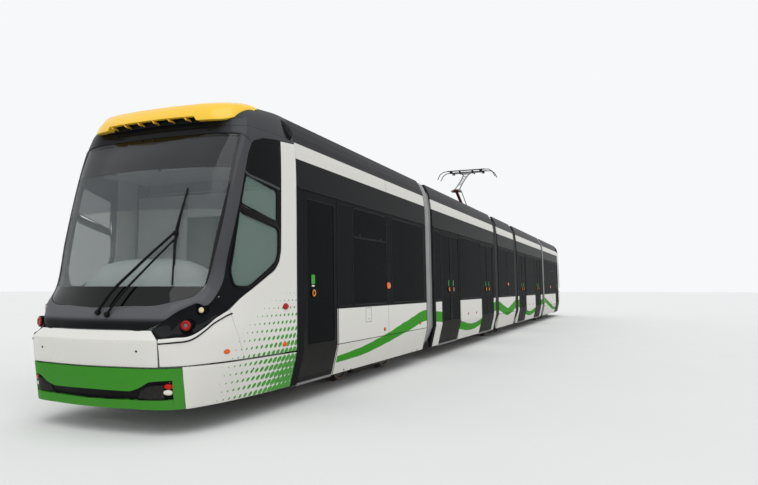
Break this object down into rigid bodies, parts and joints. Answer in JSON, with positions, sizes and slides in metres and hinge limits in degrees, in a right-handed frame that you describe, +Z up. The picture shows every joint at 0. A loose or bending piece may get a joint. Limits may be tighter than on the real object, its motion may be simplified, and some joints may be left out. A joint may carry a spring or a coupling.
{
  "type": "articulated low-floor tram",
  "caption": "Low-floor articulated tram with a cab at each end, white and black body with a green bumper, yellow visor and a raised single-arm current collector.",
  "frame": {"origin": "midway along and across the tram, level with the tips of the wheel flanges", "axes": "+Y along the tram away from the cab in the picture, +X to its visible side, +Z up"},
  "size_m": [2.65, 30.3, 5.3298],
  "materials": {
    "white_paint": "satin",
    "dark_gloss": "gloss",
    "dark_paint": "satin",
    "green_paint": "gloss",
    "yellow_paint": "gloss",
    "tinted_glass": "gloss",
    "chassis_paint": "matt",
    "cast_frame": "matt",
    "wheel_steel": "worn",
    "seat_shell": "matt",
    "lamp_housing": "gloss",
    "trim_plastic": "matt",
    "bellows_fabric": "matt",
    "red_primer": "satin",
    "bare_aluminium": "satin"
  },
  "bodies": {
    "centre_car": {"centre_underframe": "chassis_paint", "centre_bogie": "cast_frame", "centre_walls": "white_paint", "centre_roof": "dark_paint", "centre_glass": "tinted_glass", "centre_interior": "seat_shell", "gangway_2": "bellows_fabric", "gangway_3": "bellows_fabric"},
    "front_link_car": {"front_link_underframe": "chassis_paint", "front_link_walls": "white_paint", "front_link_doors": "dark_gloss", "front_link_roof": "dark_paint", "front_link_glass": "tinted_glass", "front_link_interior": "seat_shell", "gangway_1": "bellows_fabric"},
    "front_car": {"front_underframe": "chassis_paint", "front_bogie": "cast_frame", "front_walls": "white_paint", "front_doors": "dark_gloss", "front_roof": "dark_paint", "front_glass": "tinted_glass", "front_interior": "seat_shell", "front_cab_mask": "dark_gloss", "front_cab_panels": "white_paint", "front_bumper": "green_paint", "front_visor": "yellow_paint", "front_lamps": "lamp_housing", "front_cab_fittings": "trim_plastic"},
    "rear_link_car": {"rear_link_underframe": "chassis_paint", "rear_link_walls": "white_paint", "rear_link_doors": "dark_gloss", "rear_link_roof": "dark_paint", "rear_link_glass": "tinted_glass", "rear_link_interior": "seat_shell", "gangway_4": "bellows_fabric"},
    "rear_car": {"rear_underframe": "chassis_paint", "rear_bogie": "cast_frame", "rear_walls": "white_paint", "rear_doors": "dark_gloss", "rear_roof": "dark_paint", "rear_glass": "tinted_glass", "rear_interior": "seat_shell", "rear_cab_mask": "dark_gloss", "rear_cab_panels": "white_paint", "rear_bumper": "green_paint", "rear_visor": "yellow_paint", "rear_lamps": "lamp_housing", "rear_cab_fittings": "trim_plastic"},
    "wheelset_1": {"wheelset_1": "wheel_steel"},
    "wheelset_2": {"wheelset_2": "wheel_steel"},
    "wheelset_3": {"wheelset_3": "wheel_steel"},
    "wheelset_4": {"wheelset_4": "wheel_steel"},
    "wheelset_5": {"wheelset_5": "wheel_steel"},
    "wheelset_6": {"wheelset_6": "wheel_steel"},
    "collector_lower_arm": {"pantograph_lower_arm": "red_primer"},
    "collector_upper_arm": {"pantograph_upper_arm": "bare_aluminium"},
    "collector_rod": {"pantograph_rod": "bare_aluminium"},
    "collector_head": {"pantograph_head": "bare_aluminium"}
  },
  "joints": [
    {"name": "front_inner_articulation", "type": "hinge", "parent": "centre_car", "child": "front_link_car", "pos_m": [0, -1.54, 0.3], "axis": [0, 0, 1], "range_deg": [-16, 16], "deforming": ["gangway_2"]},
    {"name": "front_outer_articulation", "type": "hinge", "parent": "front_link_car", "child": "front_car", "pos_m": [0, -7.88, 0.3], "axis": [0, 0, 1], "range_deg": [-16, 16], "deforming": ["gangway_1"]},
    {"name": "rear_inner_articulation", "type": "hinge", "parent": "centre_car", "child": "rear_link_car", "pos_m": [0, 1.54, 0.3], "axis": [0, 0, 1], "range_deg": [-16, 16], "deforming": ["gangway_3"]},
    {"name": "rear_outer_articulation", "type": "hinge", "parent": "rear_link_car", "child": "rear_car", "pos_m": [0, 7.88, 0.3], "axis": [0, 0, 1], "range_deg": [-16, 16], "deforming": ["gangway_4"]},
    {"name": "wheelset_1_spin", "type": "hinge", "parent": "front_car", "child": "wheelset_1", "pos_m": [0, -10.9, 0.325], "axis": [1, 0, 0], "continuous": true},
    {"name": "wheelset_2_spin", "type": "hinge", "parent": "front_car", "child": "wheelset_2", "pos_m": [0, -9.1, 0.325], "axis": [1, 0, 0], "continuous": true},
    {"name": "wheelset_3_spin", "type": "hinge", "parent": "centre_car", "child": "wheelset_3", "pos_m": [0, -0.9, 0.325], "axis": [1, 0, 0], "continuous": true},
    {"name": "wheelset_4_spin", "type": "hinge", "parent": "centre_car", "child": "wheelset_4", "pos_m": [0, 0.9, 0.325], "axis": [1, 0, 0], "continuous": true},
    {"name": "wheelset_5_spin", "type": "hinge", "parent": "rear_car", "child": "wheelset_5", "pos_m": [0, 9.1, 0.325], "axis": [1, 0, 0], "continuous": true},
    {"name": "wheelset_6_spin", "type": "hinge", "parent": "rear_car", "child": "wheelset_6", "pos_m": [0, 10.9, 0.325], "axis": [1, 0, 0], "continuous": true},
    {"name": "collector_raise", "type": "hinge", "parent": "centre_car", "child": "collector_lower_arm", "pos_m": [0, 0.4, 3.62], "axis": [1, 0, 0], "range_deg": [-19, 25]},
    {"name": "collector_knee", "type": "hinge", "parent": "collector_lower_arm", "child": "collector_upper_arm", "pos_m": [0, -1.17, 4.46], "axis": [1, 0, 0], "range_deg": [-51, 39]},
    {"name": "collector_head_level", "type": "hinge", "parent": "collector_upper_arm", "child": "collector_head", "pos_m": [0, 0.17, 5.25], "axis": [1, 0, 0], "range_deg": [-20, 26]},
    {"name": "collector_rod_foot", "type": "hinge", "parent": "centre_car", "child": "collector_rod", "pos_m": [0.19, 0.208, 3.56], "axis": [1, 0, 0], "range_deg": [-20, 27]}
  ],
  "couplings": [
    {"joint": "collector_knee", "follows": "collector_raise", "ratio": -2.03},
    {"joint": "collector_head_level", "follows": "collector_raise", "ratio": 1.03},
    {"joint": "collector_rod_foot", "follows": "collector_raise", "ratio": 1.0416}
  ]
}
